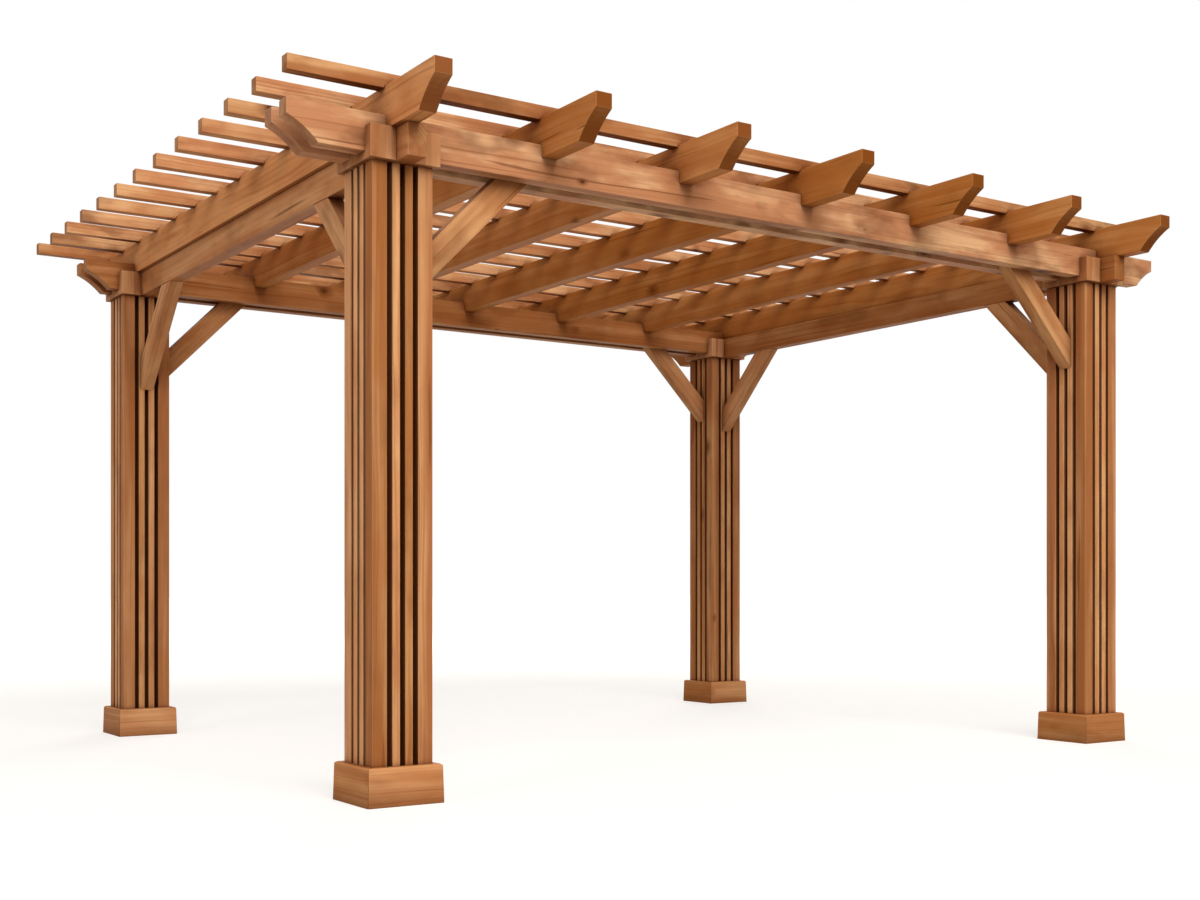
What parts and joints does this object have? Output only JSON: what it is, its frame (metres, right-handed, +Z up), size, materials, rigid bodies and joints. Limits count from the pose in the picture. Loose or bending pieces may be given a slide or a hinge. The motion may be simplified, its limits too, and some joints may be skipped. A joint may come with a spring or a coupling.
{
  "type": "timber pergola",
  "caption": "Free-standing timber pergola with slatted box posts, paired main beams, scooped rafter tails, knee braces and an open slatted roof.",
  "frame": {"origin": "on the ground, midway between the four posts", "axes": "+X along the front to the right, +Y from the front to the back, +Z up"},
  "size_m": [5.03, 4.196, 2.78],
  "materials": {
    "cap_block": "satin oiled",
    "knee_brace": "satin oiled",
    "main_beam": "satin oiled",
    "post_slat": "satin oiled",
    "post_timber": "satin oiled",
    "rafter": "satin oiled",
    "roof_slat": "satin oiled",
    "side_beam": "satin oiled",
    "skirt_board": "satin oiled"
  },
  "bodies": {
    "root": {"back_beam_inner": "main_beam", "back_beam_outer": "main_beam", "base_skirt_back_left": "skirt_board", "base_skirt_back_right": "skirt_board", "base_skirt_front_left": "skirt_board", "base_skirt_front_right": "skirt_board", "cap_blocks_back_left": "cap_block", "cap_blocks_back_right": "cap_block", "cap_blocks_front_left": "cap_block", "cap_blocks_front_right": "cap_block", "front_beam_inner": "main_beam", "front_beam_outer": "main_beam", "knee_braces_back_left": "knee_brace", "knee_braces_back_right": "knee_brace", "knee_braces_front_left": "knee_brace", "knee_braces_front_right": "knee_brace", "left_side_beam": "side_beam", "post_slats_back_left": "post_slat", "post_slats_back_right": "post_slat", "post_slats_front_left": "post_slat", "post_slats_front_right": "post_slat", "post_timbers_back_left": "post_timber", "post_timbers_back_right": "post_timber", "post_timbers_front_left": "post_timber", "post_timbers_front_right": "post_timber", "rafter_1": "rafter", "rafter_2": "rafter", "rafter_3": "rafter", "rafter_4": "rafter", "rafter_5": "rafter", "rafter_6": "rafter", "rafter_7": "rafter", "right_side_beam": "side_beam", "roof_slat_01": "roof_slat", "roof_slat_02": "roof_slat", "roof_slat_03": "roof_slat", "roof_slat_04": "roof_slat", "roof_slat_05": "roof_slat", "roof_slat_06": "roof_slat", "roof_slat_07": "roof_slat", "roof_slat_08": "roof_slat", "roof_slat_09": "roof_slat", "roof_slat_10": "roof_slat", "roof_slat_11": "roof_slat", "roof_slat_12": "roof_slat", "roof_slat_13": "roof_slat"}
  },
  "joints": []
}
